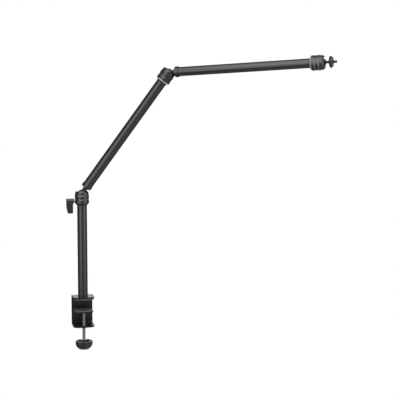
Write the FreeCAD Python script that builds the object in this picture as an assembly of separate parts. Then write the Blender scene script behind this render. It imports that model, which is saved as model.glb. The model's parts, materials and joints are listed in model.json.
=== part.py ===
import FreeCAD, Part
import math
import os

from FreeCAD import Placement, Rotation, Vector

# Articulating friction arm on a desk clamp, in millimetres.
# The origin lies on the underside of the jaw pad, on the axis of the post.
# +Z runs up the post, and the open side of the clamp faces -Y.

# Clamp frame, one folded steel sheet
SHEET = 4.0
CLAMP_WIDTH = 54.0
CLAMP_HEIGHT = 78.0
JAW_DEPTH = 50.0
BEND_INNER = 3.0
CORNER_ROUND = 14.0
POST_SETBACK = 20.0
SCREW_SETBACK = 33.0
EDGE_MATCH = 1e-6

# Pads and pressure plate
JAW_PAD_THICKNESS = 3.0
PAD_INSET = 1.5
JAW_GAP = 29.0
PLATE_SHEET = 2.5
PLATE_WIDTH = 49.0
PLATE_DEPTH = 45.0
PLATE_FRONT_ROUND = 12.0
PLATE_REAR_ROUND = 3.0
PLATE_FLANGE = 9.0
PLATE_TO_WEB = 1.2
PLATE_PAD_THICKNESS = 2.0
PLATE_PAD_BORE = 6.5

# Clamp screw, its bush and its knob
SCREW_RADIUS = 4.0
SCREW_LENGTH = 91.0
SCREW_JOURNAL_RADIUS = 3.0
THRUST_WASHER_RADIUS = 7.0
SCREW_END_EDGE = 0.8
THRUST_WASHER_THICKNESS = 1.0
CLIP_RADIUS = 5.6
CLIP_THICKNESS = 0.8
CLIP_GROOVE_DEPTH = 0.6
CLIP_MOUTH_GRIP = 0.5
BUSH_RADIUS = 7.0
BUSH_DROP = 2.5
BUSH_FLANGE = 2.0
KNOB_RADIUS = 22.0
KNOB_HEIGHT = 21.7
KNOB_FOOT_RADIUS = 12.0
KNOB_LOBES = 8
KNOB_FLUTE_RADIUS = 5.2
KNOB_FLUTE_DEPTH = 3.8
KNOB_RIM_EDGE = 2.0
KNOB_FLOOR_DEPTH = 4.0
# Points of the knob's bowl: shares of its radius and of its height below the top
KNOB_BOWL = ((0.76, 0.84), (0.93, 0.62), (1.0, 0.36))
KNOB_RECESS_DEPTH = 4.0
KNOB_WALL = 6.0
NUT_FLATS = 13.0
NUT_HEIGHT = 6.5
NUT_BEVEL = 0.6

# Tubes
POST_RADIUS = 12.5
LOWER_ARM_RADIUS = 12.5
UPPER_ARM_RADIUS = 11.5
TUBE_WALL = 1.5
POST_BALL_HEIGHT = 265.0
LOWER_ARM_LENGTH = 380.0
UPPER_ARM_LENGTH = 394.0
POST_PLUG_LENGTH = 22.0
POST_BOLT_HEAD_RADIUS = 8.0
POST_BOLT_LENGTH = 20.0
POST_BOLT_LAND = 0.5
POST_BOLT_KEY_FLATS = 5.0
POST_BOLT_KEY_DEPTH = 3.0

# Rest pose: the turn of each joint about its tube, and the bend of its ball, in degrees
BASE_PAN = -20.6
BASE_TILT = 36.3
ELBOW_PAN = -18.1
ELBOW_TILT = 52.3
TIP_PAN = 146.0
TIP_TILT = 0.0

# Lock lever of each joint, as an angle about the tube that carries it
BASE_LEVER_ANGLE = 180.0
ELBOW_LEVER_ANGLE = 97.0
TIP_LEVER_ANGLE = 91.0

# Joint head, measured along its tube from the centre of the ball
BALL_RADIUS = 10.0
NECK_RADIUS = 6.0
COLLAR_RADIUS = 18.1
COLLAR_FOOT_RADIUS = 13.2
COLLAR_FOOT = -30.0
COLLAR_TAPER = 4.4
COLLAR_TOP = -15.0
COLLAR_EDGE = 0.9
SPIGOT_LENGTH = 20.0
CUP_RADIUS = 18.35
CUP_GROOVE_RADIUS = 17.5
CUP_GROOVE = 3.4
CUP_EDGE = 0.8
CAP_SEAM = -5.5
CAP_RADIUS = 17.7
CAP_NECK_RADIUS = 17.0
CAP_SHOULDER = 2.4
CAP_TOP = 5.7
CAP_LIP_RADIUS = 14.2
CAP_EDGE = 0.7
CAP_LIP_EDGE = 0.5
MOUTH_RADIUS = 13.4
MOUTH_DEPTH = 2.7
CAP_THREAD_RADIUS = 15.0
CAP_THREAD_FOOT = -9.5
NOTCH_HALF_WIDTH = 6.8
NOTCH_FOOT = -4.6
JOURNAL_RADIUS = 12.0
JOURNAL_TOP = -9.9
SWIVEL_CLIP_FOOT = -12.6
SWIVEL_CLIP_HEIGHT = 1.2
SWIVEL_CLIP_GRIP = 0.8
SWIVEL_CLIP_MOUTH = 3.0
SEAT_RADIUS = 8.95
SEAT_FOOT = -13.4
SEAT_RIM = -5.8
PIN_RADIUS = 4.0
PIN_TIP_RADIUS = 0.5
PIN_END_ROOM = 0.5
# Drop of the pin's small end below the axis of the lock screw
PIN_TIP_DROP = 1.4

# Lock screw and lever
LOCK_AXIS = -19.1
LOCK_SCREW_RADIUS = 3.0
LOCK_TIP_RADIUS = 0.5
LEVER_GAP = 2.0
LEVER_DEPTH = 20.0
LEVER_HUB_RADIUS = 6.4
LEVER_REACH = 32.3
LEVER_TIP_DEPTH = 13.0
LEVER_STEP = 2.8
LEVER_STRAIGHT = 11.8
LEVER_BULGE = 1.3
LEVER_STEP_RISE = 3.0
LEVER_TIP_EDGE = 1.5
LEVER_HUB_EDGE = 1.2
LEVER_ROOT_HALF = 5.0
LEVER_TIP_HALF = 3.4
LEVER_BORE_DEPTH = 13.0

# Ends of the arms, measured along the arm from the ball at its lower end
END_CAP_FACE = 18.5
END_CAP_RADIUS = 13.4
END_CAP_LENGTH = 9.0
END_CAP_CHAMFER = 1.4
END_CAP_EDGE = 0.6
END_CAP_WEB = 11.0
STEM_SHANK_RADIUS = 4.0
STEM_WASHER_RADIUS = 7.7
STEM_WASHER_THICKNESS = 1.2
NUT_POCKET_RADIUS = 8.0
STEM_TAIL = 2.0
STEM_END_EDGE = 0.8
NECK_OVERLAP = 0.5

# Camera stud and its lock disc, measured from the centre of the tip ball
STUD_RADIUS = 3.15
STUD_ROOT = 3.0
STUD_TIP = 35.5
STUD_CHAMFER = 0.8
STUD_RELIEF_RADIUS = 2.6
TIP_FLAT = 8.6
DISC_BACK = 18.5
DISC_RADIUS = 13.8
DISC_THICKNESS = 5.0
DISC_HUB_RADIUS = 8.0
DISC_HUB_HEIGHT = 1.5
DISC_NOTCHES = 28
DISC_NOTCH_RADIUS = 0.9
DISC_RIM_STEP = 1.1
DISC_RIM_WIDTH = 0.8
DISC_CHAMFER = 0.3
DISC_PAD_RADIUS = 12.2
DISC_PAD_BORE = 4.6
DISC_PAD_THICKNESS = 1.5

# Clearances
RUNNING = 0.05
SLIP = 0.10
FACE_GAP = 0.30

# How far a cutting shape runs past the face that it cuts
OVERRUN = 1.0

# Places worked out from the sizes above
WEB_FRONT = POST_SETBACK
WEB_BACK = WEB_FRONT + SHEET
JAW_FRONT = WEB_FRONT - JAW_DEPTH
SCREW_Y = WEB_FRONT - SCREW_SETBACK
JAW_UNDERSIDE = JAW_PAD_THICKNESS
CLAMP_TOP = JAW_UNDERSIDE + SHEET
CLAMP_FOOT = CLAMP_TOP - CLAMP_HEIGHT
PLATE_TOP = -JAW_GAP - PLATE_PAD_THICKNESS
PLATE_FOOT = PLATE_TOP - PLATE_SHEET
SCREW_SHOULDER = PLATE_FOOT - THRUST_WASHER_THICKNESS
SCREW_FOOT = SCREW_SHOULDER - SCREW_LENGTH
KNOB_TOP = SCREW_FOOT - KNOB_FLOOR_DEPTH + KNOB_HEIGHT
NUT_SEAT = KNOB_TOP - KNOB_RECESS_DEPTH
TUBE_START = END_CAP_FACE + END_CAP_LENGTH
SWIVEL_CLIP_TOP = SWIVEL_CLIP_FOOT + SWIVEL_CLIP_HEIGHT
LEVER_INNER = COLLAR_RADIUS + LEVER_GAP
LEVER_OUTER = LEVER_INNER + LEVER_DEPTH
DISC_FRONT = DISC_BACK + DISC_THICKNESS


def turned(profile):
    """A closed profile of (radius, height) points turned about Z."""
    points = [Vector(radius, 0, height) for radius, height in profile]
    outline = Part.makePolygon(points + points[:1])
    return Part.Face(outline).revolve(Vector(0, 0, 0), Vector(0, 0, 1), 360)


def rod(radius, low, high):
    """A round bar on Z between two heights."""
    return Part.makeCylinder(radius, high - low, Vector(0, 0, low))


def ring(outer, inner, low, high):
    """A flat ring on Z between two heights."""
    return rod(outer, low, high).cut(rod(inner, low, high))


def hexagon(flats, low, high):
    """A hexagonal bar on Z, by its width across the flats."""
    corner = flats / math.sqrt(3)
    points = []
    for side in range(6):
        turn = math.radians(60 * side)
        points.append(Vector(corner * math.cos(turn), corner * math.sin(turn), low))
    face = Part.Face(Part.makePolygon(points + points[:1]))
    return face.extrude(Vector(0, 0, high - low))


def nut(flats, bore, low, high):
    """A hexagon nut with its corners chamfered top and bottom."""
    corner = flats / math.sqrt(3)
    bevel = (corner - flats / 2) * NUT_BEVEL
    envelope = turned([(0, low), (corner - bevel, low), (corner, low + bevel),
                       (corner, high - bevel), (corner - bevel, high), (0, high)])
    return hexagon(flats, low, high).common(envelope).cut(rod(bore, low, high))


def rounded_plate(width, back, front, low, high, front_round, back_round):
    """A flat plate in plan from y = back to y = front, with rounded corners."""
    plate = Part.makeBox(width, back - front, high - low, Vector(-width / 2, front, low))
    plate = plate.makeFillet(front_round, upright_edges_at(plate, front))
    if back_round > 0:
        plate = plate.makeFillet(back_round, upright_edges_at(plate, back))
    return plate


def upright_edges_at(plate, y):
    """The two edges of a plate along Z that lie at the given y."""
    found = []
    for edge in plate.Edges:
        start, end = [vertex.Point for vertex in edge.Vertexes]
        at_y = abs(start.y - y) < EDGE_MATCH and abs(end.y - y) < EDGE_MATCH
        if at_y and abs(start.z - end.z) > EDGE_MATCH:
            found.append(edge)
    return found


def moved(shape, place):
    """A copy of a shape, carried from its local frame to its place."""
    result = shape.copy()
    result.Placement = place.multiply(result.Placement)
    return result


def turn_about_z(angle):
    return Placement(Vector(0, 0, 0), Rotation(Vector(0, 0, 1), angle))


def turn_about_y(angle):
    return Placement(Vector(0, 0, 0), Rotation(Vector(0, 1, 0), angle))


def slide_along_z(distance):
    return Placement(Vector(0, 0, distance), Rotation())


# Frames of the three joints. Each has its origin at the centre of its ball.
# In a tube frame Z runs along the tube that carries the joint.
# In a cup frame X also points to the notch, and in an arm frame Z runs along the next arm.
def joint_frames():
    frames = {}
    tube = slide_along_z(CLAMP_TOP + POST_BALL_HEIGHT)
    chain = (("base", BASE_PAN, BASE_TILT, LOWER_ARM_LENGTH),
             ("elbow", ELBOW_PAN, ELBOW_TILT, UPPER_ARM_LENGTH),
             ("tip", TIP_PAN, TIP_TILT, 0.0))
    for name, pan, tilt, next_length in chain:
        cup = tube.multiply(turn_about_z(pan))
        arm = cup.multiply(turn_about_y(tilt))
        frames[name] = {"tube": tube, "cup": cup, "arm": arm}
        tube = arm.multiply(slide_along_z(next_length))
    return frames


# Clamp
def clamp_frame():
    """A sheet folded to a C: top jaw, web and lower jaw, with its front corners rounded."""
    half_inner = CLAMP_HEIGHT / 2 - SHEET
    middle = (CLAMP_TOP + CLAMP_FOOT) / 2
    outer = Part.makeBox(CLAMP_WIDTH, WEB_BACK - JAW_FRONT, CLAMP_HEIGHT,
                         Vector(-CLAMP_WIDTH / 2, JAW_FRONT, CLAMP_FOOT))
    outer = outer.makeFillet(BEND_INNER + SHEET, long_edges_at(outer, WEB_BACK))
    run_out = 2 * SHEET
    inner = Part.makeBox(CLAMP_WIDTH + 2 * run_out, WEB_FRONT - JAW_FRONT + run_out,
                         2 * half_inner,
                         Vector(-CLAMP_WIDTH / 2 - run_out, JAW_FRONT - run_out,
                                middle - half_inner))
    inner = inner.makeFillet(BEND_INNER, long_edges_at(inner, WEB_FRONT))
    sheet = outer.cut(inner)
    plan = rounded_plate(CLAMP_WIDTH, WEB_BACK, JAW_FRONT, CLAMP_FOOT, CLAMP_TOP,
                         CORNER_ROUND, 0)
    sheet = sheet.common(plan)
    bolt_hole = turned(post_bolt_outline(RUNNING))
    bush_hole = at_screw(rod(BUSH_RADIUS + RUNNING, CLAMP_FOOT - SHEET, CLAMP_FOOT + 2 * SHEET))
    return sheet.cut(bolt_hole).cut(bush_hole)


def long_edges_at(box, y):
    """The two edges of a box along X that lie at the given y."""
    found = []
    for edge in box.Edges:
        start, end = [vertex.Point for vertex in edge.Vertexes]
        at_y = abs(start.y - y) < EDGE_MATCH and abs(end.y - y) < EDGE_MATCH
        if at_y and abs(start.z - end.z) < EDGE_MATCH:
            found.append(edge)
    return found


def jaw_pad():
    return rounded_plate(CLAMP_WIDTH - 2 * PAD_INSET, WEB_FRONT - BEND_INNER - SLIP,
                         JAW_FRONT + PAD_INSET, 0, JAW_UNDERSIDE,
                         CORNER_ROUND - PAD_INSET, 0)


def post_bolt_outline(grow):
    """Countersunk bolt from under the top jaw up into the plug of the post."""
    shank = SCREW_RADIUS + grow
    head = POST_BOLT_HEAD_RADIUS + grow
    return [(0, JAW_UNDERSIDE), (head, JAW_UNDERSIDE), (shank, CLAMP_TOP - POST_BOLT_LAND),
            (shank, JAW_UNDERSIDE + POST_BOLT_LENGTH),
            (0, JAW_UNDERSIDE + POST_BOLT_LENGTH)]


def post_bolt():
    key = hexagon(POST_BOLT_KEY_FLATS, JAW_UNDERSIDE, JAW_UNDERSIDE + POST_BOLT_KEY_DEPTH)
    return turned(post_bolt_outline(0)).cut(key)


def post_plug():
    body = rod(POST_RADIUS - TUBE_WALL - RUNNING, CLAMP_TOP, CLAMP_TOP + POST_PLUG_LENGTH)
    return body.cut(turned(post_bolt_outline(RUNNING)))


def bush():
    """Threaded bush pressed into the lower jaw, flush with its upper face."""
    barrel = ring(BUSH_RADIUS, SCREW_RADIUS + RUNNING, CLAMP_FOOT - BUSH_DROP,
                  CLAMP_FOOT + SHEET)
    flange = ring(BUSH_RADIUS + BUSH_FLANGE, SCREW_RADIUS + RUNNING, CLAMP_FOOT - BUSH_DROP,
                  CLAMP_FOOT)
    return at_screw(barrel.fuse(flange))


def pressure_plate():
    """Plate that the screw pushes up, with a rear flange that runs along the web."""
    back = WEB_FRONT - PLATE_TO_WEB
    plate = rounded_plate(PLATE_WIDTH, back, back - PLATE_DEPTH, PLATE_FOOT, PLATE_TOP,
                          PLATE_FRONT_ROUND, PLATE_REAR_ROUND)
    flange_width = PLATE_WIDTH - 2 * PLATE_REAR_ROUND
    flange = Part.makeBox(flange_width, PLATE_SHEET, PLATE_FLANGE,
                          Vector(-flange_width / 2, back - PLATE_SHEET,
                                 PLATE_FOOT - PLATE_FLANGE))
    hole = at_screw(rod(SCREW_JOURNAL_RADIUS + RUNNING, PLATE_FOOT - OVERRUN, PLATE_TOP + OVERRUN))
    return plate.fuse(flange).cut(hole)


def pressure_pad():
    back = WEB_FRONT - PLATE_TO_WEB - PAD_INSET
    pad = rounded_plate(PLATE_WIDTH - 2 * PAD_INSET, back,
                        WEB_FRONT - PLATE_TO_WEB - PLATE_DEPTH + PAD_INSET,
                        PLATE_TOP, -JAW_GAP,
                        PLATE_FRONT_ROUND - PAD_INSET, PLATE_REAR_ROUND - PAD_INSET)
    hole = at_screw(rod(PLATE_PAD_BORE, PLATE_TOP - OVERRUN, -JAW_GAP + OVERRUN))
    return pad.cut(hole)


def at_screw(shape):
    """A shape that was made on Z, carried to the axis of the clamp screw."""
    shape.translate(Vector(0, SCREW_Y, 0))
    return shape


def thrust_washer():
    return at_screw(ring(THRUST_WASHER_RADIUS, SCREW_JOURNAL_RADIUS + RUNNING,
                         SCREW_SHOULDER, PLATE_FOOT))


def clip_groove_radius():
    return SCREW_JOURNAL_RADIUS - CLIP_GROOVE_DEPTH


def screw_clip():
    """Open ring in the groove above the plate, which keeps the screw in it."""
    clip = ring(CLIP_RADIUS, clip_groove_radius(), PLATE_TOP + RUNNING,
                PLATE_TOP + RUNNING + CLIP_THICKNESS)
    half_mouth = clip_groove_radius() - CLIP_MOUTH_GRIP
    mouth = Part.makeBox(CLIP_RADIUS, 2 * half_mouth, 2 * CLIP_THICKNESS,
                         Vector(0, -half_mouth, PLATE_TOP))
    return at_screw(clip.cut(mouth))


def clamp_screw():
    groove_low = PLATE_TOP
    groove_high = PLATE_TOP + CLIP_THICKNESS + 2 * RUNNING
    journal_top = -JAW_GAP - FACE_GAP
    profile = [(0, SCREW_FOOT), (SCREW_RADIUS - SCREW_END_EDGE, SCREW_FOOT),
               (SCREW_RADIUS, SCREW_FOOT + SCREW_END_EDGE), (SCREW_RADIUS, SCREW_SHOULDER),
               (SCREW_JOURNAL_RADIUS, SCREW_SHOULDER), (SCREW_JOURNAL_RADIUS, groove_low),
               (clip_groove_radius(), groove_low), (clip_groove_radius(), groove_high),
               (SCREW_JOURNAL_RADIUS, groove_high), (SCREW_JOURNAL_RADIUS, journal_top),
               (0, journal_top)]
    return at_screw(turned(profile))


def clamp_knob():
    """Lobed bowl-shaped knob, recessed at the top for its nut."""
    top = KNOB_TOP
    foot = top - KNOB_HEIGHT
    contour = [(KNOB_RADIUS * out, top - KNOB_HEIGHT * down) for out, down in KNOB_BOWL]
    bowl = turned([(0, foot), (KNOB_FOOT_RADIUS, foot)] + contour
                  + [(KNOB_RADIUS, top - KNOB_RIM_EDGE), (KNOB_RADIUS - KNOB_RIM_EDGE, top),
                     (0, top)])
    knob = bowl.cut(rod(KNOB_RADIUS - KNOB_WALL, NUT_SEAT, top + OVERRUN))
    flute = rod(KNOB_FLUTE_RADIUS, foot - OVERRUN, top + OVERRUN)
    reach = KNOB_RADIUS - KNOB_FLUTE_DEPTH + KNOB_FLUTE_RADIUS
    for lobe in range(KNOB_LOBES):
        turn = math.radians(360 * (lobe + 0.5) / KNOB_LOBES)
        cutter = flute.copy()
        cutter.translate(Vector(reach * math.sin(turn), -reach * math.cos(turn), 0))
        knob = knob.cut(cutter)
    knob = knob.cut(rod(SCREW_RADIUS, SCREW_FOOT, top + OVERRUN))
    return at_screw(knob)


def knob_nut():
    return at_screw(nut(NUT_FLATS, SCREW_RADIUS, NUT_SEAT, NUT_SEAT + NUT_HEIGHT))


# Joint head, in its local frame with Z along the tube and X to the notch
def collar(tube_inner):
    """Fixed half of a head: it closes the tube and holds the lock screw and the pin."""
    spigot = tube_inner - RUNNING
    edge = COLLAR_EDGE
    profile = [(0, COLLAR_FOOT - SPIGOT_LENGTH),
               (spigot, COLLAR_FOOT - SPIGOT_LENGTH),
               (spigot, COLLAR_FOOT), (COLLAR_FOOT_RADIUS, COLLAR_FOOT),
               (COLLAR_RADIUS - edge, COLLAR_FOOT + COLLAR_TAPER),
               (COLLAR_RADIUS, COLLAR_FOOT + COLLAR_TAPER + edge),
               (COLLAR_RADIUS, COLLAR_TOP - edge), (COLLAR_RADIUS - edge, COLLAR_TOP),
               (JOURNAL_RADIUS, COLLAR_TOP), (JOURNAL_RADIUS, SWIVEL_CLIP_FOOT - SLIP),
               (JOURNAL_RADIUS - SWIVEL_CLIP_GRIP, SWIVEL_CLIP_FOOT - SLIP),
               (JOURNAL_RADIUS - SWIVEL_CLIP_GRIP, SWIVEL_CLIP_TOP + SLIP),
               (JOURNAL_RADIUS, SWIVEL_CLIP_TOP + SLIP), (JOURNAL_RADIUS, JOURNAL_TOP),
               (0, JOURNAL_TOP)]
    seat_pocket = rod(SEAT_RADIUS + RUNNING, SEAT_FOOT - SLIP, JOURNAL_TOP + OVERRUN)
    pin_bore = rod(PIN_RADIUS + RUNNING, pin_tip_height() - PIN_END_ROOM, SEAT_FOOT)
    screw_bore = along_x(rod(LOCK_SCREW_RADIUS + RUNNING, 0, COLLAR_RADIUS + OVERRUN))
    return turned(profile).cut(seat_pocket).cut(pin_bore).cut(screw_bore)


def along_x(shape):
    """A shape made on Z, laid along X at the height of the lock screw."""
    return moved(shape, slide_along_z(LOCK_AXIS).multiply(turn_about_y(90)))


def pin_tip_height():
    """Height of the small end of the pin, just below the axis of the lock screw."""
    return LOCK_AXIS - PIN_TIP_DROP


def pressure_pin():
    cone = PIN_RADIUS - PIN_TIP_RADIUS
    tip = pin_tip_height()
    return turned([(0, tip), (PIN_TIP_RADIUS, tip), (PIN_RADIUS, tip + cone),
                   (PIN_RADIUS, SEAT_FOOT), (0, SEAT_FOOT)])


def lock_screw():
    """Steel screw whose 45 degree point drives the cone of the pin."""
    pin_radius_at_axis = PIN_TIP_RADIUS + (LOCK_AXIS - pin_tip_height())
    start = pin_radius_at_axis + LOCK_TIP_RADIUS + SLIP
    cone = LOCK_SCREW_RADIUS - LOCK_TIP_RADIUS
    end = LEVER_INNER + LEVER_BORE_DEPTH
    return along_x(turned([(0, start), (LOCK_TIP_RADIUS, start),
                           (LOCK_SCREW_RADIUS, start + cone), (LOCK_SCREW_RADIUS, end),
                           (0, end)]))


def lock_lever():
    """Moulded lever: a round hub on the lock screw and a blade that hangs from it."""
    edge = LEVER_HUB_EDGE
    hub = along_x(turned([(0, LEVER_INNER), (LEVER_HUB_RADIUS - edge, LEVER_INNER),
                          (LEVER_HUB_RADIUS, LEVER_INNER + edge),
                          (LEVER_HUB_RADIUS, LEVER_OUTER - edge),
                          (LEVER_HUB_RADIUS - edge, LEVER_OUTER), (0, LEVER_OUTER)]))
    blade = lever_side_view().common(lever_front_view())
    bore = along_x(rod(LOCK_SCREW_RADIUS, LEVER_INNER - OVERRUN,
                       LEVER_INNER + LEVER_BORE_DEPTH))
    return hub.fuse(blade).cut(bore)


def lever_side_view():
    """The blade as it is seen across the lock screw, with a bowed outer edge."""
    foot = LOCK_AXIS - LEVER_REACH
    near = LEVER_INNER + LEVER_STEP
    far = near + LEVER_TIP_DEPTH
    bow_low = foot + LEVER_TIP_EDGE
    bow_high = LOCK_AXIS - LEVER_STRAIGHT
    bow = Vector((far + LEVER_OUTER) / 2 + LEVER_BULGE, 0, (bow_low + bow_high) / 2)
    before = [(LEVER_INNER, LOCK_AXIS), (LEVER_OUTER, LOCK_AXIS), (LEVER_OUTER, bow_high)]
    after = [(far, bow_low), (far - LEVER_TIP_EDGE, foot), (near + LEVER_TIP_EDGE, foot),
             (near, foot + LEVER_TIP_EDGE),
             (near, LOCK_AXIS - LEVER_HUB_RADIUS - LEVER_STEP_RISE / 2),
             (LEVER_INNER, LOCK_AXIS - LEVER_HUB_RADIUS + LEVER_STEP_RISE / 2),
             (LEVER_INNER, LOCK_AXIS)]
    first = Part.makePolygon([Vector(x, 0, z) for x, z in before]).Edges
    last = Part.makePolygon([Vector(x, 0, z) for x, z in after]).Edges
    bowed = Part.Arc(Vector(LEVER_OUTER, 0, bow_high), bow, Vector(far, 0, bow_low)).toShape()
    face = Part.Face(Part.Wire(first + [bowed] + last))
    face.translate(Vector(0, -LEVER_HUB_RADIUS, 0))
    return face.extrude(Vector(0, 2 * LEVER_HUB_RADIUS, 0))


def lever_front_view():
    """The blade as it is seen along the lock screw, tapered to a round tip."""
    foot = LOCK_AXIS - LEVER_REACH
    bottom = foot + LEVER_TIP_HALF
    root_left = Vector(0, -LEVER_ROOT_HALF, LOCK_AXIS)
    root_right = Vector(0, LEVER_ROOT_HALF, LOCK_AXIS)
    tip_left = Vector(0, -LEVER_TIP_HALF, bottom)
    tip_right = Vector(0, LEVER_TIP_HALF, bottom)
    outline = Part.Wire([Part.LineSegment(root_left, tip_left).toShape(),
                         Part.Arc(tip_left, Vector(0, 0, foot), tip_right).toShape(),
                         Part.LineSegment(tip_right, root_right).toShape(),
                         Part.LineSegment(root_right, root_left).toShape()])
    return Part.Face(outline).extrude(Vector(LEVER_OUTER + OVERRUN, 0, 0))


def swivel_clip():
    """Open wire ring that lets the cup turn on the collar without lifting off."""
    inner = JOURNAL_RADIUS - SWIVEL_CLIP_GRIP + RUNNING
    outer = JOURNAL_RADIUS + SWIVEL_CLIP_GRIP
    clip = ring(outer, inner, SWIVEL_CLIP_FOOT, SWIVEL_CLIP_TOP)
    mouth = Part.makeBox(2 * outer, SWIVEL_CLIP_MOUTH, SWIVEL_CLIP_HEIGHT + 2 * OVERRUN,
                         Vector(-outer, outer - SWIVEL_CLIP_MOUTH, SWIVEL_CLIP_FOOT - OVERRUN))
    return clip.cut(mouth)


def cup():
    """Turning half of a head, below the seam with the cap."""
    low = COLLAR_TOP + 2 * SLIP
    edge = CUP_EDGE
    clip_low = SWIVEL_CLIP_FOOT - SLIP
    clip_high = SWIVEL_CLIP_TOP + SLIP
    bore = JOURNAL_RADIUS + RUNNING
    thread = CAP_THREAD_RADIUS + RUNNING
    thread_foot = CAP_THREAD_FOOT - SLIP
    groove = JOURNAL_RADIUS + SWIVEL_CLIP_GRIP + RUNNING
    return turned([(bore, low), (CUP_GROOVE_RADIUS, low),
                   (CUP_GROOVE_RADIUS, low + CUP_GROOVE),
                   (CUP_RADIUS, low + CUP_GROOVE + edge), (CUP_RADIUS, CAP_SEAM - edge),
                   (CUP_RADIUS - edge, CAP_SEAM), (thread, CAP_SEAM),
                   (thread, thread_foot), (bore, thread_foot), (bore, clip_high),
                   (groove, clip_high), (groove, clip_low), (bore, clip_low)])


def cap():
    """Screwed cap that holds the ball down, with a flared mouth and a notch for the neck."""
    pocket = BALL_RADIUS + RUNNING
    edge = CAP_EDGE
    outside = turned([(0, CAP_THREAD_FOOT), (CAP_THREAD_RADIUS, CAP_THREAD_FOOT),
                      (CAP_THREAD_RADIUS, CAP_SEAM), (CAP_RADIUS - edge, CAP_SEAM),
                      (CAP_RADIUS, CAP_SEAM + edge), (CAP_NECK_RADIUS, CAP_SHOULDER),
                      (CAP_LIP_RADIUS + CAP_LIP_EDGE, CAP_TOP - CAP_LIP_EDGE), (CAP_LIP_RADIUS, CAP_TOP),
                      (0, CAP_TOP)])
    throat = math.sqrt(pocket ** 2 - (CAP_TOP - MOUTH_DEPTH) ** 2)
    flare = turned([(0, CAP_TOP - MOUTH_DEPTH), (throat, CAP_TOP - MOUTH_DEPTH),
                    (MOUTH_RADIUS, CAP_TOP), (MOUTH_RADIUS, CAP_TOP + OVERRUN),
                    (0, CAP_TOP + OVERRUN)])
    hollow = Part.makeSphere(pocket).fuse(rod(pocket, CAP_THREAD_FOOT - OVERRUN, 0))
    shell = outside.cut(hollow).cut(flare)
    round_height = NOTCH_FOOT + NOTCH_HALF_WIDTH
    reach = CUP_RADIUS + OVERRUN
    notch = Part.makeCylinder(NOTCH_HALF_WIDTH, reach, Vector(0, 0, round_height),
                              Vector(1, 0, 0))
    above = Part.makeBox(reach, 2 * NOTCH_HALF_WIDTH, CAP_TOP - round_height + OVERRUN,
                         Vector(0, -NOTCH_HALF_WIDTH, round_height))
    return shell.cut(notch.fuse(above))


def ball_seat():
    """Brass seat between the pin and the ball, hollowed to the ball."""
    body = rod(SEAT_RADIUS, SEAT_FOOT, SEAT_RIM)
    return body.cut(Part.makeSphere(BALL_RADIUS + RUNNING))


# Arms, in their arm frame with Z along the arm and the origin at the lower ball
def ball_stem():
    """Ball, neck and threaded shank turned from one bar."""
    neck_start = math.sqrt(BALL_RADIUS ** 2 - NECK_RADIUS ** 2) - NECK_OVERLAP
    neck = rod(NECK_RADIUS, neck_start, END_CAP_FACE - SLIP)
    tail = END_CAP_FACE + END_CAP_WEB + STEM_WASHER_THICKNESS + NUT_HEIGHT + STEM_TAIL
    shank = turned([(0, neck_start), (STEM_SHANK_RADIUS, neck_start),
                    (STEM_SHANK_RADIUS, tail - STEM_END_EDGE),
                    (STEM_SHANK_RADIUS - STEM_END_EDGE, tail), (0, tail)])
    return Part.makeSphere(BALL_RADIUS).fuse(neck).fuse(shank)


def end_cap(tube_inner):
    """Turned end of an arm, with a spigot in the tube and a pocket for the stem's nut."""
    spigot = tube_inner - RUNNING
    bore = STEM_SHANK_RADIUS + RUNNING
    web_top = END_CAP_FACE + END_CAP_WEB
    tail = TUBE_START + SPIGOT_LENGTH
    return turned([(bore, END_CAP_FACE), (END_CAP_RADIUS - END_CAP_CHAMFER, END_CAP_FACE),
                   (END_CAP_RADIUS, END_CAP_FACE + END_CAP_CHAMFER),
                   (END_CAP_RADIUS, TUBE_START - END_CAP_EDGE),
                   (END_CAP_RADIUS - END_CAP_EDGE, TUBE_START),
                   (spigot, TUBE_START), (spigot, tail), (NUT_POCKET_RADIUS, tail),
                   (NUT_POCKET_RADIUS, web_top), (bore, web_top)])


def stem_washer():
    web_top = END_CAP_FACE + END_CAP_WEB
    return ring(STEM_WASHER_RADIUS, STEM_SHANK_RADIUS, web_top + SLIP,
                web_top + STEM_WASHER_THICKNESS)


def stem_nut():
    low = END_CAP_FACE + END_CAP_WEB + STEM_WASHER_THICKNESS
    return nut(NUT_FLATS, STEM_SHANK_RADIUS, low, low + NUT_HEIGHT)


def tube(radius, low, high):
    return ring(radius, radius - TUBE_WALL, low, high)


# Camera end, in the arm frame of the tip joint
def tip_ball():
    """Ball with a flat and a tapped hole for the camera stud."""
    ball = Part.makeSphere(BALL_RADIUS)
    flat = rod(BALL_RADIUS, TIP_FLAT, BALL_RADIUS + OVERRUN)
    return ball.cut(flat).cut(rod(STUD_RADIUS, STUD_ROOT, BALL_RADIUS + OVERRUN))


def camera_stud():
    """Quarter-inch stud, with a relief behind the length that enters the camera."""
    relief_low = DISC_FRONT + FACE_GAP
    relief_high = DISC_FRONT + DISC_PAD_THICKNESS
    return turned([(0, STUD_ROOT), (STUD_RADIUS, STUD_ROOT), (STUD_RADIUS, relief_low),
                   (STUD_RELIEF_RADIUS, relief_low), (STUD_RELIEF_RADIUS, relief_high),
                   (STUD_RADIUS, relief_high), (STUD_RADIUS, STUD_TIP - STUD_CHAMFER),
                   (STUD_RADIUS - STUD_CHAMFER, STUD_TIP), (0, STUD_TIP)])


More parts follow.
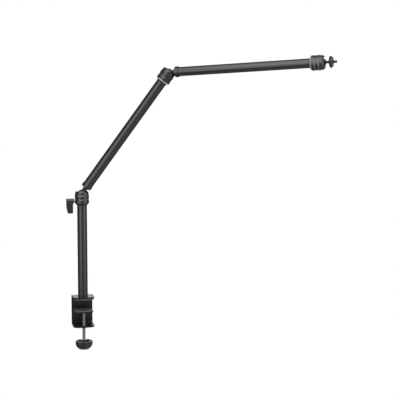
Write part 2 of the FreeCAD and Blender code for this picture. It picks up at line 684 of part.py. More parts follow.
def lock_disc():
    """Round nut with a notched band that is turned up against the camera."""
    rim = DISC_RADIUS - DISC_RIM_STEP
    hub_back = DISC_BACK - DISC_HUB_HEIGHT
    disc = turned([(0, hub_back), (DISC_HUB_RADIUS - DISC_CHAMFER, hub_back),
                   (DISC_HUB_RADIUS, hub_back + DISC_CHAMFER), (DISC_HUB_RADIUS, DISC_BACK),
                   (rim - DISC_CHAMFER, DISC_BACK), (rim, DISC_BACK + DISC_CHAMFER),
                   (rim, DISC_FRONT - DISC_CHAMFER), (rim - DISC_CHAMFER, DISC_FRONT),
                   (0, DISC_FRONT)])
    band = notched_band(DISC_BACK + DISC_RIM_WIDTH, DISC_FRONT - DISC_RIM_WIDTH)
    return disc.fuse(band).cut(rod(STUD_RADIUS + RUNNING, 0, STUD_TIP))


def notched_band(low, high):
    """The widest part of the disc, with an outline of round notches between crests."""
    half_notch = math.acos(1 - DISC_NOTCH_RADIUS ** 2 / (2 * DISC_RADIUS ** 2))
    pitch = 2 * math.pi / DISC_NOTCHES
    edges = []
    for index in range(DISC_NOTCHES):
        middle = index * pitch
        start = on_circle(DISC_RADIUS, middle - half_notch, low)
        deep = on_circle(DISC_RADIUS - DISC_NOTCH_RADIUS, middle, low)
        end = on_circle(DISC_RADIUS, middle + half_notch, low)
        crest = on_circle(DISC_RADIUS, middle + pitch / 2, low)
        after = on_circle(DISC_RADIUS, middle + pitch - half_notch, low)
        edges.append(Part.Arc(start, deep, end).toShape())
        edges.append(Part.Arc(end, crest, after).toShape())
    return Part.Face(Part.Wire(edges)).extrude(Vector(0, 0, high - low))


def on_circle(radius, angle, height):
    """A point about Z, by its angle in radians."""
    return Vector(radius * math.cos(angle), radius * math.sin(angle), height)


def disc_pad():
    return ring(DISC_PAD_RADIUS, DISC_PAD_BORE, DISC_FRONT, DISC_FRONT + DISC_PAD_THICKNESS)


# Assembly
def clamp_nodes():
    return {
        "clamp_frame": clamp_frame(),
        "jaw_pad": jaw_pad(),
        "post_bolt": post_bolt(),
        "post_plug": post_plug(),
        "clamp_bush": bush(),
        "pressure_plate": pressure_plate(),
        "pressure_pad": pressure_pad(),
        "thrust_washer": thrust_washer(),
        "screw_clip": screw_clip(),
        "clamp_screw": clamp_screw(),
        "clamp_knob": clamp_knob(),
        "knob_nut": knob_nut(),
    }


def head_nodes(name, frames, tube_radius, lever_angle):
    """All pieces of one joint head, placed on the tube that carries it."""
    fixed = frames["tube"]
    lever_side = fixed.multiply(turn_about_z(lever_angle))
    turning = frames["cup"]
    return {
        name + "_collar": moved(collar(tube_radius - TUBE_WALL), lever_side),
        name + "_pressure_pin": moved(pressure_pin(), fixed),
        name + "_ball_seat": moved(ball_seat(), fixed),
        name + "_swivel_clip": moved(swivel_clip(), fixed),
        name + "_lock_screw": moved(lock_screw(), lever_side),
        name + "_lock_lever": moved(lock_lever(), lever_side),
        name + "_cup": moved(cup(), turning),
        name + "_cap": moved(cap(), turning),
    }


def arm_nodes(name, frame, radius, length):
    """Ball stem, end cap, nut, washer and tube of one arm."""
    inner = radius - TUBE_WALL
    return {
        name + "_ball_stem": moved(ball_stem(), frame),
        name + "_stem_washer": moved(stem_washer(), frame),
        name + "_stem_nut": moved(stem_nut(), frame),
        name + "_end_cap": moved(end_cap(inner), frame),
        name + "_tube": moved(tube(radius, TUBE_START, length + COLLAR_FOOT), frame),
    }


def camera_nodes(frame):
    return {
        "tip_ball": moved(tip_ball(), frame),
        "camera_stud": moved(camera_stud(), frame),
        "lock_disc": moved(lock_disc(), frame),
        "disc_pad": moved(disc_pad(), frame),
    }


def all_nodes():
    frames = joint_frames()
    nodes = clamp_nodes()
    post_top = CLAMP_TOP + POST_BALL_HEIGHT + COLLAR_FOOT
    nodes["post_tube"] = tube(POST_RADIUS, CLAMP_TOP, post_top)
    nodes.update(head_nodes("base", frames["base"], POST_RADIUS, BASE_LEVER_ANGLE))
    nodes.update(arm_nodes("lower_arm", frames["base"]["arm"], LOWER_ARM_RADIUS,
                           LOWER_ARM_LENGTH))
    nodes.update(head_nodes("elbow", frames["elbow"], LOWER_ARM_RADIUS, ELBOW_LEVER_ANGLE))
    nodes.update(arm_nodes("upper_arm", frames["elbow"]["arm"], UPPER_ARM_RADIUS,
                           UPPER_ARM_LENGTH))
    nodes.update(head_nodes("tip", frames["tip"], UPPER_ARM_RADIUS, TIP_LEVER_ANGLE))
    nodes.update(camera_nodes(frames["tip"]["arm"]))
    return nodes


def main():
    os.makedirs("parts", exist_ok=True)
    for name, shape in all_nodes().items():
        solid = shape.removeSplitter()
        solid.exportStep("parts/" + name + ".step")


main()
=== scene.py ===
import json
import math

import bpy
from mathutils import Matrix, Vector

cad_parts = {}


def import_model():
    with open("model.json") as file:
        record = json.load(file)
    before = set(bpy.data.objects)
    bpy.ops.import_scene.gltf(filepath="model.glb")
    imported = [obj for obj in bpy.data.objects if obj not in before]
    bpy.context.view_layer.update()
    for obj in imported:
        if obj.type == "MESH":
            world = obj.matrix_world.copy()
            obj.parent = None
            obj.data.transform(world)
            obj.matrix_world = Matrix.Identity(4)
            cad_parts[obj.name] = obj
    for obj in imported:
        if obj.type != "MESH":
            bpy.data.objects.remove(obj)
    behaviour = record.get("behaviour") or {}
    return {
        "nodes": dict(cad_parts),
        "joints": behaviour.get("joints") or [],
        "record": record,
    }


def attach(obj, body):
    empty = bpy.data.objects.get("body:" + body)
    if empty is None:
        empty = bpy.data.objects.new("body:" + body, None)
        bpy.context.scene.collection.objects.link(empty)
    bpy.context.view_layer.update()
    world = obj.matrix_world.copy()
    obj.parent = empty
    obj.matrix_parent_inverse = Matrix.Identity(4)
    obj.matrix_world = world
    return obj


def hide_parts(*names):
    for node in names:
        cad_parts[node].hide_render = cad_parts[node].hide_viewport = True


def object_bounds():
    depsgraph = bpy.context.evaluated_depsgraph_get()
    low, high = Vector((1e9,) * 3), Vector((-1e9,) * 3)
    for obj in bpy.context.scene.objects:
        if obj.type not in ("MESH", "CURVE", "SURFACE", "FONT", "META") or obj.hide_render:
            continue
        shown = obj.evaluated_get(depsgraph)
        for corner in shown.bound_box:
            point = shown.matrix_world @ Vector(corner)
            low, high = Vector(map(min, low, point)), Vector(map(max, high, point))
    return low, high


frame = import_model()
cad_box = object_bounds()

# Lengths are metres in the part's own frame, and angles are degrees, unless a comment
# says otherwise.
MM = 0.001
UP = Vector((0, 0, 1))
NODES = frame["nodes"]
JOINTS = {joint["name"]: joint for joint in frame["joints"]}
HEADS = ("base", "elbow", "tip")

# Camera of the photograph: a long lens, a little to the left and slightly above
CAMERA_PLACE = (-0.3336, -2.5866, 0.4952)
CAMERA_HEADING = -14.0
CAMERA_DOWN = 5.3
FOCAL_PIXELS = 1017.0
IMAGE_PIXELS = 400.0
# Width of the sensor in millimetres
SENSOR_WIDTH = 36.0
CLIP_END = 50.0

# Softboxes stand around this point: name, bearing from the camera, height, distance,
# width, tallness and brightness
LIGHT_CENTRE = (0.26, -0.1, 0.3)
SOFTBOXES = (("left_box", -36.0, 0.3, 3.0, 2.6, 2.6, 1.7),
             ("right_box", 63.0, 0.3, 3.0, 2.6, 2.6, 1.75),
             ("top_box", 0.0, 1.9, 1.2, 3.4, 3.0, 2.6),
             ("rear_top_box", 180.0, 2.2, 2.0, 4.2, 1.8, 1.0))

# Surroundings, as strengths: what reflections see at the sides, and what lights matt faces
REFLECTED_SIDES = 0.13
DIFFUSE_FILL = 0.4
# Reflections see white behind the object: how straight they have to look there, as a
# cosine, for it to begin and to be full, how much a look aside counts against it, and how
# far above the horizon it begins and is full
BEHIND_FROM = 0.3
BEHIND_TO = 0.5
ASIDE_WEIGHT = 1.8
RAISED_FROM = 0.02
RAISED_TO = 0.12
# Below the horizon it turns light again between these, to this strength
BELOW_FROM = 0.2
BELOW_TO = 0.42
FLOOR_REFLECTED = 0.45

FLOOR_SIZE = 2.2
FLOOR_MIDDLE_Y = -0.3
# How far the floor is below the part at rest: the knob goes down 22.5 mm as the jaw opens
FLOOR_DROP = 0.03
# Across the floor, from its middle, where its reflection turns from dark to light
FLOOR_DARK_TO = -0.32
FLOOR_LIGHT_FROM = -0.18
FLOOR_GREY = 0.9
FLOOR_ROUGHNESS = 0.9


# Placing
def axis_frame(origin, axis, toward=None):
    """A frame with Z along an axis and X as near as can be to a direction."""
    z = axis.normalized()
    guide = toward if toward is not None else Vector((1, 0, 0))
    x = (guide - z * guide.dot(z)).normalized()
    y = z.cross(x)
    matrix = Matrix((x, y, z)).transposed().to_4x4()
    matrix.translation = origin
    return matrix


def joint_axis(name):
    """The place of a joint and its direction."""
    joint = JOINTS[name]
    return Vector(joint["pos_m"]), Vector(joint["axis"]).normalized()


def reach_along(node, origin, axis):
    """How far a node reaches both ways along an axis from a point on it."""
    heights = [(vertex.co - origin).dot(axis) for vertex in NODES[node].data.vertices]
    return min(heights), max(heights)


# Meshes
def new_piece(name, mesh, matrix):
    mesh.transform(matrix)
    piece = bpy.data.objects.new(name, mesh)
    bpy.context.scene.collection.objects.link(piece)
    return piece


def grid_mesh(name, rows, looped=False):
    """A mesh from rings of points, capped at both ends or joined from last to first."""
    count = len(rows[0])
    vertices = [point for row in rows for point in row]
    faces = []
    for r in range(len(rows) if looped else len(rows) - 1):
        after = (r + 1) % len(rows)
        for c in range(count):
            n = (c + 1) % count
            faces.append((r * count + c, r * count + n, after * count + n, after * count + c))
    if not looped:
        faces.append(tuple(reversed(range(count))))
        last = (len(rows) - 1) * count
        faces.append(tuple(last + c for c in range(count)))
    mesh = bpy.data.meshes.new(name)
    mesh.from_pydata(vertices, [], faces)
    mesh.validate()
    mesh.update()
    return mesh


def smooth_by_angle(piece, degrees):
    mesh = piece.data
    for polygon in mesh.polygons:
        polygon.use_smooth = True
    mesh.set_sharp_from_angle(angle=math.radians(degrees))


# Shader nodes
def combine(tree, operation, first, second):
    """A sum, product or the like of two values, each a number or a socket."""
    node = tree.nodes.new("ShaderNodeMath")
    node.operation = operation
    for socket, value in zip(node.inputs, (first, second)):
        if isinstance(value, float):
            socket.default_value = value
        else:
            tree.links.new(value, socket)
    return node.outputs[0]


def ramp(tree, value, low, high, out_low=0.0, out_high=1.0):
    """A value mapped from one range to another, and held at its ends."""
    mapping = tree.nodes.new("ShaderNodeMapRange")
    mapping.inputs["From Min"].default_value = low
    mapping.inputs["From Max"].default_value = high
    mapping.inputs["To Min"].default_value = out_low
    mapping.inputs["To Max"].default_value = out_high
    tree.links.new(value, mapping.inputs["Value"])
    return mapping.outputs["Result"]


def noise(tree, scale, detail):
    """Noise in object space."""
    where = tree.nodes.new("ShaderNodeTexCoord")
    texture = tree.nodes.new("ShaderNodeTexNoise")
    texture.inputs["Scale"].default_value = scale
    texture.inputs["Detail"].default_value = detail
    tree.links.new(where.outputs["Object"], texture.inputs["Vector"])
    return texture.outputs["Fac"]


def bump(tree, shader, value, distance):
    made = tree.nodes.new("ShaderNodeBump")
    made.inputs["Distance"].default_value = distance
    made.inputs["Strength"].default_value = BUMP_STRENGTH
    tree.links.new(value, made.inputs["Height"])
    tree.links.new(made.outputs["Normal"], shader.inputs["Normal"])


# Materials
FINE_GRAIN = 1400.0
COARSE_GRAIN = 900.0
GRAIN_DETAIL = 4.0
GLOSS_PATCHES = 60.0
GLOSS_DETAIL = 2.0
# Most of the noise lies between these
NOISE_LOW = 0.35
NOISE_HIGH = 0.65
BUMP_STRENGTH = 0.5
COAT_ROUGHNESS = 0.12


def material(name, color, roughness, metallic=0.0, specular=0.5):
    made = bpy.data.materials.new(name)
    made.use_nodes = True
    shader = made.node_tree.nodes["Principled BSDF"]
    shader.inputs["Base Color"].default_value = (*color, 1)
    shader.inputs["Metallic"].default_value = metallic
    shader.inputs["Roughness"].default_value = roughness
    shader.inputs["Specular IOR Level"].default_value = specular
    return made, made.node_tree, shader


def grey(value):
    return value, value, value


def finished(name, color, roughness, metallic=0.0, specular=0.5, grain=FINE_GRAIN,
             depth=0.002, change=0.02, tint=1.0, coat=0.0):
    """A satin surface with a fine grain, its depth in millimetres, and gloss that changes."""
    made, tree, shader = material(name, color, roughness, metallic, specular)
    shader.inputs["Specular Tint"].default_value = (*grey(tint), 1)
    shader.inputs["Coat Weight"].default_value = coat
    shader.inputs["Coat Roughness"].default_value = COAT_ROUGHNESS
    gloss = ramp(tree, noise(tree, GLOSS_PATCHES, GLOSS_DETAIL), NOISE_LOW, NOISE_HIGH,
                 roughness - change, roughness + change)
    tree.links.new(gloss, shader.inputs["Roughness"])
    bump(tree, shader, noise(tree, grain, GRAIN_DETAIL), depth * MM)
    return made


SURFACES = {
    "black_anodised": {"color": grey(0.072), "roughness": 0.3, "metallic": 0.85,
                       "change": 0.015, "tint": 0.12},
    "black_paint": {"color": grey(0.007), "roughness": 0.3, "specular": 0.35,
                    "grain": COARSE_GRAIN, "depth": 0.004, "coat": 0.35},
    "blackened_steel": {"color": grey(0.02), "roughness": 0.18, "specular": 0.25},
    "bright_steel": {"color": grey(0.45), "roughness": 0.28, "metallic": 1.0,
                     "depth": 0.003, "change": 0.03},
    "black_plastic": {"color": grey(0.016), "roughness": 0.22, "specular": 0.65,
                      "grain": COARSE_GRAIN, "depth": 0.005, "change": 0.03},
    "black_rubber": {"color": grey(0.07), "roughness": 0.6, "specular": 0.4,
                     "grain": COARSE_GRAIN, "depth": 0.02, "change": 0.04},
    "brass": {"color": (0.62, 0.44, 0.2), "roughness": 0.32, "metallic": 1.0,
              "depth": 0.003, "change": 0.04},
    "cut_edge": {"color": grey(0.34), "roughness": 0.3, "metallic": 1.0,
                 "grain": COARSE_GRAIN, "change": 0.03},
    "disc_metal": {"color": grey(0.03), "roughness": 0.3, "metallic": 0.85, "tint": 0.12},
    "bright_cut": {"color": grey(0.75), "roughness": 0.2, "metallic": 1.0,
                   "grain": COARSE_GRAIN, "change": 0.03},
    # Near-white trim for the painted highlight band at the collar feet of the elbow and tip
    # heads
    "painted_highlight_trim": {"color": grey(0.9), "roughness": 0.35, "metallic": 0.7,
                  "grain": COARSE_GRAIN, "change": 0.03},
}
MATERIALS = {name: finished(name, **values) for name, values in SURFACES.items()}


def dress_nodes():
    slots = {entry["node"]: entry["material_slot"] for entry in frame["record"]["subparts"]}
    slots["lock_disc"] = "disc_metal"
    for name, node in NODES.items():
        node.data.materials.clear()
        node.data.materials.append(MATERIALS[slots[name]])


# Bare metal on the joint heads. Bands are heights along the tube from the centre of the
# ball, from and to, and a radius, in millimetres
COLLAR_EDGE_BAND = (-15.95, -14.95, 16.9)
CUP_EDGE_BAND = (-6.35, -5.45, 17.3)
MOUTH_BAND = (2.95, 5.75, 14.25)
# Heads whose cup gets a bare edge as a painted highlight; the elbow's identical cup keeps
# none, as painted shade
PAINTED_HIGHLIGHT_CUPS = ("base", "tip")
# Section of the narrow painted highlight band at the foot of a collar: radius and height, in
# millimetres
PAINTED_HIGHLIGHT_RING = ((16.25, -26.75), (16.35, -26.85), (17.3, -25.7), (18.16, -24.75), (18.05, -24.6),
             (17.1, -25.6))
PAINTED_HIGHLIGHT_RING_AROUND = 96
PAINTED_HIGHLIGHT_RING_SMOOTH = 30
# Heads that get the painted highlight band, each with the body that carries the collar of its
# moving arm; the base head's identical collar foot gets none
COLLAR_BODIES = (("elbow", "lower_arm"), ("tip", "upper_arm"))


def cut_faces(head, part, band, metal, outside=True):
    """Give a bare metal to a part's faces in a band, outside or inside its radius."""
    node = NODES[head + part]
    low, high, limit = band
    origin, axis = joint_axis(head + "_pan")
    node.data.materials.append(metal)
    last = len(node.data.materials) - 1
    for polygon in node.data.polygons:
        offset = polygon.center - origin
        along = offset.dot(axis)
        height = along / MM
        radius = (offset - axis * along).length / MM
        beyond = radius > limit if outside else radius < limit
        if low < height < high and beyond:
            polygon.material_index = last


def cut_edges():
    """Bare metal on the bevels beside the seams and in the flared mouth of each cap; the cup's
    bevel is bare only on the base and tip heads, a painted highlight.
    """
    for head in HEADS:
        cut_faces(head, "_collar", COLLAR_EDGE_BAND, MATERIALS["cut_edge"])
        # Painted highlight: only the listed heads get the bare cup edge
        if head in PAINTED_HIGHLIGHT_CUPS:
            cut_faces(head, "_cup", CUP_EDGE_BAND, MATERIALS["cut_edge"])
        cut_faces(head, "_cap", MOUTH_BAND, MATERIALS["bright_cut"], outside=False)


def painted_highlight_rings():
    """A painted highlight: a narrow near-white band where the collar of each moving arm begins
    to taper, which the base head's collar does not get.
    """
    turns = [2 * math.pi * step / PAINTED_HIGHLIGHT_RING_AROUND for step in range(PAINTED_HIGHLIGHT_RING_AROUND)]
    for head, body in COLLAR_BODIES:
        rows = [[(radius * MM * math.cos(turn), radius * MM * math.sin(turn), height * MM)
                 for turn in turns] for radius, height in PAINTED_HIGHLIGHT_RING]
        name = head + "_painted_highlight_ring"
        piece = new_piece(name, grid_mesh(name, rows, looped=True),
                          axis_frame(*joint_axis(head + "_pan")))
        smooth_by_angle(piece, PAINTED_HIGHLIGHT_RING_SMOOTH)
        piece.data.materials.append(MATERIALS["painted_highlight_trim"])
        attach(piece, body)


def stand_in(piece, node, body, slot):
    """Put a modelled piece in the place of a node, on its body and with its material."""
    piece.data.materials.append(MATERIALS[slot])
    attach(piece, body)
    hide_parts(node)


# Threads
SCREW_RADIUS = 4.0 * MM
SCREW_PITCH = 1.25 * MM
SCREW_THREAD_DEPTH = 0.7 * MM
JOURNAL_RADIUS = 3.0 * MM
CLIP_GROOVE_RADIUS = 2.4 * MM
STUD_RADIUS = 3.15 * MM
STUD_PITCH = 1.27 * MM
STUD_THREAD_DEPTH = 0.6 * MM
# Plain waist of the stud, from just above the disc to the face of its pad
STUD_WAIST_RADIUS = 2.6 * MM
STUD_WAIST_START = 0.3 * MM
THREAD_BEVEL = 0.8 * MM
THREAD_ROWS_PER_TURN = 8
THREAD_AROUND = 28
THREAD_SMOOTH = 40
# Over one pitch the groove is a triangle of this height and slope, in shares of the depth
# of the thread, cut off flat at its root and its crest
THREAD_PEAK = 1.6
THREAD_SLOPE = 4.6


def threaded_rod(name, place, low, high, radius, pitch, depth, plain):
    """A rod with a helical thread between two heights, plain over the given stretches."""
    count = int(round((high - low) / (pitch / THREAD_ROWS_PER_TURN)))
    rows = []
    for index in range(count + 1):
        height = low + (high - low) * index / count
        plain_size = next((size for start, stop, size in plain if start <= height <= stop),
                          None)
        edge = min(height - low, high - height)
        limit = radius - THREAD_BEVEL + edge if edge < THREAD_BEVEL else radius
        ring = []
        for step in range(THREAD_AROUND):
            angle = 2 * math.pi * step / THREAD_AROUND
            wave = (height / pitch - step / THREAD_AROUND) % 1.0
            share = min(1.0, max(0.0, THREAD_PEAK - abs(wave - 0.5) * THREAD_SLOPE))
            size = radius - depth * share if plain_size is None else plain_size
            size = min(size, limit)
            ring.append((size * math.cos(angle), size * math.sin(angle), height))
        rows.append(ring)
    piece = new_piece(name, grid_mesh(name, rows), place)
    smooth_by_angle(piece, THREAD_SMOOTH)
    return piece


def clamp_screw():
    origin, _ = joint_axis("screw_turn")
    low, high = reach_along("clamp_screw", origin, UP)
    shoulder = reach_along("thrust_washer", origin, UP)[0]
    groove = reach_along("screw_clip", origin, UP)
    plain = [(*groove, CLIP_GROOVE_RADIUS), (shoulder, high, JOURNAL_RADIUS)]
    piece = threaded_rod("threaded_screw", axis_frame(origin, UP), low, high, SCREW_RADIUS,
                         SCREW_PITCH, SCREW_THREAD_DEPTH, plain)
    stand_in(piece, "clamp_screw", "screw", "bright_steel")


def camera_stud():
    origin, axis = joint_axis("disc_turn")
    low, high = reach_along("camera_stud", origin, axis)
    disc_top = reach_along("lock_disc", origin, axis)[1]
    pad_top = reach_along("disc_pad", origin, axis)[1]
    plain = [(disc_top + STUD_WAIST_START, pad_top, STUD_WAIST_RADIUS)]
    piece = threaded_rod("threaded_stud", axis_frame(origin, axis), low, high, STUD_RADIUS,
                         STUD_PITCH, STUD_THREAD_DEPTH, plain)
    stand_in(piece, "camera_stud", "camera_stud", "blackened_steel")


# Knob
KNOB_RADIUS = 22.0 * MM
KNOB_HEIGHT = 21.7 * MM
KNOB_FOOT_RADIUS = 12.0 * MM
# Corners up its side: shares of its radius, and of its height below its top
KNOB_SIDE = ((0.76, 0.84), (0.93, 0.62), (1.0, 0.36))
KNOB_FLOOR = 4.0 * MM
RECESS_RADIUS = 16.0 * MM
RECESS_DEPTH = 4.0 * MM
RECESS_TAPER = 0.4 * MM
# Radius of the rings at the axis, which small caps close
AXIS_RADIUS = 0.4 * MM
# How much of each corner of the section is rounded off, in millimetres
KNOB_CUTS = (0, 2.0, 3.0, 3.0, 3.0, 2.2, 0.7, 1.0, 0.1, 0.1, 0)
CORNER_STEPS = 4
KNOB_LOBES = 8
FLUTE_RADIUS = 5.2 * MM
FLUTE_DEPTH = 3.8 * MM
FLUTE_BLEND = 1.6 * MM
# Within this height of the top, the flutes lean inwards by this slope
RIM_HEIGHT = 1.6 * MM
RIM_LEAN = 0.5
RECESS_MARGIN = 0.05 * MM
KNOB_AROUND = 160
KNOB_SMOOTH = 30


def soft_min(a, b, blend):
    """The smaller of two lengths, rounded off where they are close."""
    gap = max(blend - abs(a - b), 0.0) / blend
    return min(a, b) - gap * gap * blend / 4


def flute_limit(angle):
    """Distance from the axis to the nearest flute, along a direction."""
    centre = KNOB_RADIUS - FLUTE_DEPTH + FLUTE_RADIUS
    pitch = 2 * math.pi / KNOB_LOBES
    turn = (angle % pitch) - pitch / 2
    across = centre * math.sin(turn)
    if abs(across) >= FLUTE_RADIUS or math.cos(turn) < 0:
        return centre * math.cos(turn) + 2 * FLUTE_RADIUS
    return centre * math.cos(turn) - math.sqrt(FLUTE_RADIUS ** 2 - across ** 2)


def rounded_path(corners, cuts):
    """A path of (radius, height) points with its corners rounded off."""
    path = [corners[0]]
    for index in range(1, len(corners) - 1):
        before, corner, after = (Vector(corners[index + k]) for k in (-1, 0, 1))
        into, out = (corner + (end - corner).normalized()
                     * min(cuts[index], (end - corner).length / 2) for end in (before, after))
        for step in range(CORNER_STEPS + 1):
            s = step / CORNER_STEPS
            path.append(tuple(into * (1 - s) ** 2 + corner * 2 * s * (1 - s) + out * s ** 2))
    path.append(corners[-1])
    return path


def clamp_knob():
    origin, _ = joint_axis("screw_turn")
    low, top = reach_along("clamp_knob", origin, UP)
    screw_foot = low + KNOB_FLOOR
    seat = top - RECESS_DEPTH
    side = [(KNOB_RADIUS * wide, top - KNOB_HEIGHT * deep) for wide, deep in KNOB_SIDE]
    corners = [(AXIS_RADIUS, low), (KNOB_FOOT_RADIUS, low), *side, (KNOB_RADIUS, top),
               (RECESS_RADIUS, top), (RECESS_RADIUS - RECESS_TAPER, seat),
               (SCREW_RADIUS, seat), (SCREW_RADIUS, screw_foot), (AXIS_RADIUS, screw_foot)]
    path = rounded_path(corners, [cut * MM for cut in KNOB_CUTS])
    peak = max(range(len(path)), key=lambda index: path[index][1])
    rows = []
    for index, (radius, height) in enumerate(path):
        outside = radius > RECESS_RADIUS + RECESS_MARGIN or index < peak
        lean = max(0.0, height - (top - RIM_HEIGHT)) * RIM_LEAN
        ring = []
        for step in range(KNOB_AROUND):
            angle = 2 * math.pi * step / KNOB_AROUND
            size = radius
            if outside:
                size = soft_min(radius, flute_limit(angle) - lean, FLUTE_BLEND)
            ring.append((size * math.sin(angle), -size * math.cos(angle), height))
        rows.append(ring)
    piece = new_piece("lobed_knob", grid_mesh("lobed_knob", rows), axis_frame(origin, UP))
    smooth_by_angle(piece, KNOB_SMOOTH)
    stand_in(piece, "clamp_knob", "screw", "black_plastic")


# Lock levers, in a frame with Z out along the lock screw and X along the tube
LEVER_DEPTH = 20.0 * MM
LEVER_HUB = 6.4 * MM
LEVER_REACH = 32.3 * MM
# The near side steps back below the hub, over this much of the lever's length
LEVER_STEP = 2.8 * MM
LEVER_STEP_RUN = 3.0 * MM
LEVER_TIP_DEPTH = 13.0 * MM
LEVER_ROOT_HALF = 5.0 * MM
LEVER_TIP_HALF = 3.4 * MM
# The far side is straight down to here, and bows in below
LEVER_STRAIGHT = 11.8 * MM
LEVER_BOW_POWER = 1.6
LEVER_EDGE = 1.2 * MM
LEVER_EDGE_INSET = 0.5
LEVER_SECTIONS = 64
LEVER_AROUND = 40
LEVER_SMOOTH = 50
# Squareness of the section: 1 for an ellipse, near 0 for a rectangle
LEVER_SQUARENESS = 0.32
# The end sections stand this share of a step away from the ends
LEVER_END_GAP = 0.12
# Keeps a division finite where the lever has no width
TINY = 1e-9


def eased(value):
    value = min(1.0, max(0.0, value))
    return value * value * (3 - 2 * value)


def lever_section(drop):
    """Half width, near side and far side of the lever at a distance below its screw."""
    round_half = math.sqrt(max(LEVER_HUB ** 2 - drop ** 2, 0.0))
    near = LEVER_STEP * eased((drop - LEVER_HUB) / LEVER_STEP_RUN + 0.5)
    bow = min(1.0, max(0.0, (drop - LEVER_STRAIGHT) / (LEVER_REACH - LEVER_STRAIGHT)))
    far = (LEVER_DEPTH
           - (LEVER_DEPTH - LEVER_STEP - LEVER_TIP_DEPTH) * bow ** LEVER_BOW_POWER)
    if drop <= 0:
        return round_half, near, far
    taper = LEVER_ROOT_HALF + (LEVER_TIP_HALF - LEVER_ROOT_HALF) * drop / LEVER_REACH
    left = LEVER_REACH - drop
    if left < LEVER_TIP_HALF:
        short = LEVER_TIP_HALF - left
        taper = math.sqrt(max(LEVER_TIP_HALF ** 2 - short ** 2, 0.0))
        rounding = LEVER_EDGE * (short / LEVER_TIP_HALF) ** 2
        near += rounding
        far -= rounding
    return -soft_min(-round_half, -taper, LEVER_EDGE), near, far


def signed_power(value):
    return math.copysign(abs(value) ** LEVER_SQUARENESS, value)


def lever_mesh(name):
    rows = []
    for index in range(LEVER_SECTIONS + 1):
        along = (index + LEVER_END_GAP) / (LEVER_SECTIONS + 2 * LEVER_END_GAP)
        share = (1 - math.cos(math.pi * along)) / 2
        drop = -LEVER_HUB + (LEVER_HUB + LEVER_REACH) * share
        half, near, far = lever_section(drop)
        middle = (near + far) / 2
        deep = (far - near) / 2
        edge = min(half, LEVER_EDGE)
        ring = []
        for step in range(LEVER_AROUND):
            angle = 2 * math.pi * step / LEVER_AROUND
            z = middle + deep * signed_power(math.cos(angle))
            y = half * signed_power(math.sin(angle))
            past = max(0.0, abs(z - middle) - (deep - edge)) / max(edge, TINY)
            inset = edge * past * LEVER_EDGE_INSET
            ring.append((-drop, math.copysign(max(abs(y) - inset, 0.0), y), z))
        rows.append(ring)
    return grid_mesh(name, rows)


def lock_levers():
    for head in HEADS:
        name = head + "_moulded_lever"
        place = axis_frame(*joint_axis(head + "_lever_turn"), joint_axis(head + "_pan")[1])
        piece = new_piece(name, lever_mesh(name), place)
        smooth_by_angle(piece, LEVER_SMOOTH)
        stand_in(piece, head + "_lock_lever", head + "_lever", "black_plastic")


# Stage, light and camera
def stage():
    """A small floor, plain white to the camera; reflections see it lighter under the arms."""
    made, tree, shader = material("floor_white", grey(FLOOR_GREY), FLOOR_ROUGHNESS)
    path = tree.nodes.new("ShaderNodeLightPath").outputs
    where = tree.nodes.new("ShaderNodeTexCoord")
    split = tree.nodes.new("ShaderNodeSeparateXYZ")
    tree.links.new(where.outputs["Object"], split.inputs["Vector"])
    under = ramp(tree, split.outputs["X"], FLOOR_DARK_TO, FLOOR_LIGHT_FROM,
                 REFLECTED_SIDES, FLOOR_REFLECTED)
    white = tree.nodes.new("ShaderNodeEmission")
    white.inputs["Color"].default_value = (1, 1, 1, 1)
    tree.links.new(combine(tree, "MAXIMUM", path["Is Camera Ray"], under),
                   white.inputs["Strength"])
    mix = tree.nodes.new("ShaderNodeMixShader")
    tree.links.new(combine(tree, "MAXIMUM", path["Is Camera Ray"], path["Is Glossy Ray"]),
                   mix.inputs["Fac"])
    tree.links.new(shader.outputs["BSDF"], mix.inputs[1])
    tree.links.new(white.outputs["Emission"], mix.inputs[2])
    tree.links.new(mix.outputs["Shader"], tree.nodes["Material Output"].inputs["Surface"])
    place = (LIGHT_CENTRE[0], FLOOR_MIDDLE_Y, cad_box[0].z - FLOOR_DROP)
    bpy.ops.mesh.primitive_plane_add(size=FLOOR_SIZE, location=place)
    floor = bpy.context.object
    floor.name = "floor"
    floor.data.materials.append(made)


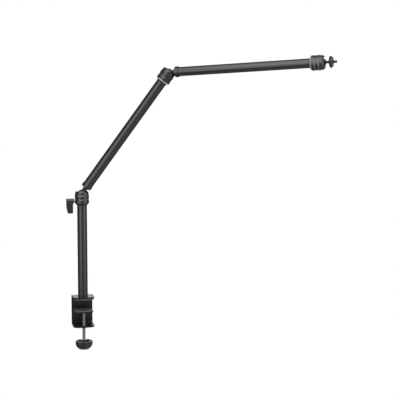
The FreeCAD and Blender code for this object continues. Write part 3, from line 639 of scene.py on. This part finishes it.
def world():
    """White to the camera; for reflections dark at the sides and white straight behind."""
    made = bpy.data.worlds.new("studio")
    bpy.context.scene.world = made
    made.use_nodes = True
    tree = made.node_tree
    background = tree.nodes["Background"]
    background.inputs["Color"].default_value = (1, 1, 1, 1)
    where = tree.nodes.new("ShaderNodeTexCoord")
    path = tree.nodes.new("ShaderNodeLightPath").outputs

    def share_of(direction):
        dot = tree.nodes.new("ShaderNodeVectorMath")
        dot.operation = "DOT_PRODUCT"
        dot.inputs[1].default_value = direction
        tree.links.new(where.outputs["Generated"], dot.inputs[0])
        return dot.outputs["Value"]

    turn = math.radians(CAMERA_HEADING)
    ahead = share_of((-math.sin(turn), math.cos(turn), 0.0))
    aside = combine(tree, "ABSOLUTE", share_of((math.cos(turn), math.sin(turn), 0.0)), 0.0)
    facing = ramp(tree, combine(tree, "SUBTRACT", ahead,
                                combine(tree, "MULTIPLY", aside, ASIDE_WEIGHT)),
                  BEHIND_FROM, BEHIND_TO)
    raised = ramp(tree, share_of((0.0, 0.0, 1.0)), RAISED_FROM, RAISED_TO)
    below = ramp(tree, share_of((0.0, 0.0, -1.0)), BELOW_FROM, BELOW_TO)
    bright = combine(tree, "MAXIMUM", combine(tree, "MULTIPLY", facing, raised),
                     combine(tree, "MULTIPLY", below, FLOOR_REFLECTED))
    glossy = combine(tree, "MULTIPLY", path["Is Glossy Ray"],
                     combine(tree, "MAXIMUM", bright, REFLECTED_SIDES))
    soft = combine(tree, "MULTIPLY", path["Is Diffuse Ray"], DIFFUSE_FILL)
    clear = combine(tree, "MAXIMUM", path["Is Camera Ray"], path["Is Transmission Ray"])
    strength = combine(tree, "MAXIMUM", combine(tree, "ADD", glossy, soft), clear)
    tree.links.new(strength, background.inputs["Strength"])


def around_object(bearing, height, distance):
    """A place at a bearing from the camera's own side of the object, positive to its right."""
    turn = math.radians(CAMERA_HEADING + bearing - 90)
    return (LIGHT_CENTRE[0] + distance * math.cos(turn),
            LIGHT_CENTRE[1] + distance * math.sin(turn), LIGHT_CENTRE[2] + height)


def softbox(name, place, width, tall, brightness):
    light = bpy.data.lights.new(name, "AREA")
    light.shape = "RECTANGLE"
    light.size = width
    light.size_y = tall
    light.energy = brightness * math.pi * width * tall
    lamp = bpy.data.objects.new(name, light)
    lamp.location = place
    lamp.rotation_mode = "QUATERNION"
    aim = Vector(LIGHT_CENTRE) - Vector(place)
    lamp.rotation_quaternion = aim.to_track_quat("-Z", "Y")
    bpy.context.scene.collection.objects.link(lamp)


def camera():
    data = bpy.data.cameras.new("camera")
    data.sensor_width = SENSOR_WIDTH
    data.lens = SENSOR_WIDTH * FOCAL_PIXELS / IMAGE_PIXELS
    data.clip_end = CLIP_END
    made = bpy.data.objects.new("camera", data)
    made.location = CAMERA_PLACE
    made.rotation_euler = (math.radians(90 - CAMERA_DOWN), 0, math.radians(CAMERA_HEADING))
    bpy.context.scene.collection.objects.link(made)
    bpy.context.scene.camera = made


dress_nodes()
cut_edges()
painted_highlight_rings()
clamp_screw()
camera_stud()
clamp_knob()
lock_levers()
stage()
world()
for box_name, bearing, height, distance, width, tall, brightness in SOFTBOXES:
    softbox(box_name, around_object(bearing, height, distance), width, tall, brightness)
camera()
bpy.context.scene.view_settings.view_transform = "Standard"
